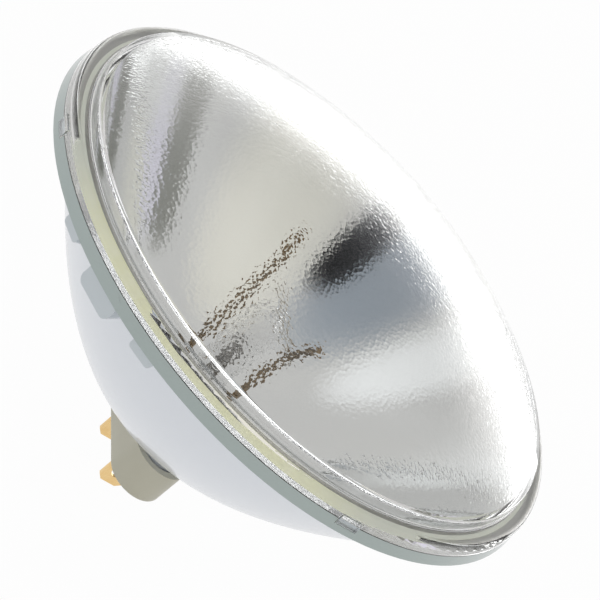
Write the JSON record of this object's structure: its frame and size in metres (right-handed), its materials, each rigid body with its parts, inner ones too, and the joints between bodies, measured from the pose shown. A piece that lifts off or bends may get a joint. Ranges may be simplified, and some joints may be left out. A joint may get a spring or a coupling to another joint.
{
  "type": "sealed-beam spotlight lamp",
  "caption": "Round sealed-beam spotlight lamp: stippled glass lens over a silvered bowl, with a ceramic base and flat contact blades at the back.",
  "frame": {"origin": "centre of the flat ring on the back of the rim, where a fixture's ring holds the lamp", "axes": "+Z along the beam, out of the lens; X from one contact blade to the other; Y across the blades"},
  "size_m": [0.2032, 0.2032, 0.1346],
  "materials": {
    "lens_glass": "clear pressed glass, fine stipple over the dome",
    "bowl_glass": "pressed glass, bowl silvered on its inside",
    "mirror_film": "bright aluminium film",
    "adhesive": "pale yellow cured adhesive",
    "steatite": "unglazed ceramic, warm grey",
    "cement": "cured mineral cement",
    "nickel": "nickel-plated iron",
    "brass": "bright rolled brass",
    "rod_metal": "heat-tinted nickel wire",
    "quartz": "clear fused quartz",
    "tungsten": "drawn tungsten",
    "molybdenum": "molybdenum"
  },
  "bodies": {
    "root": {"reflector": "bowl_glass", "lens": "lens_glass", "mirror_film": "mirror_film", "bond": "adhesive", "ceramic_base": "steatite", "base_cement": "cement", "ferrule_a": "nickel", "ferrule_b": "nickel", "strap_a": "nickel", "strap_b": "nickel", "blade_a": "brass", "blade_b": "brass", "rod_a": "rod_metal", "rod_b": "rod_metal", "stay_wire": "rod_metal", "burner": "quartz", "filament": "tungsten", "foil_a": "molybdenum", "foil_b": "molybdenum", "inner_lead_a": "tungsten", "inner_lead_b": "tungsten", "outer_lead_a": "molybdenum", "outer_lead_b": "molybdenum"}
  },
  "joints": []
}
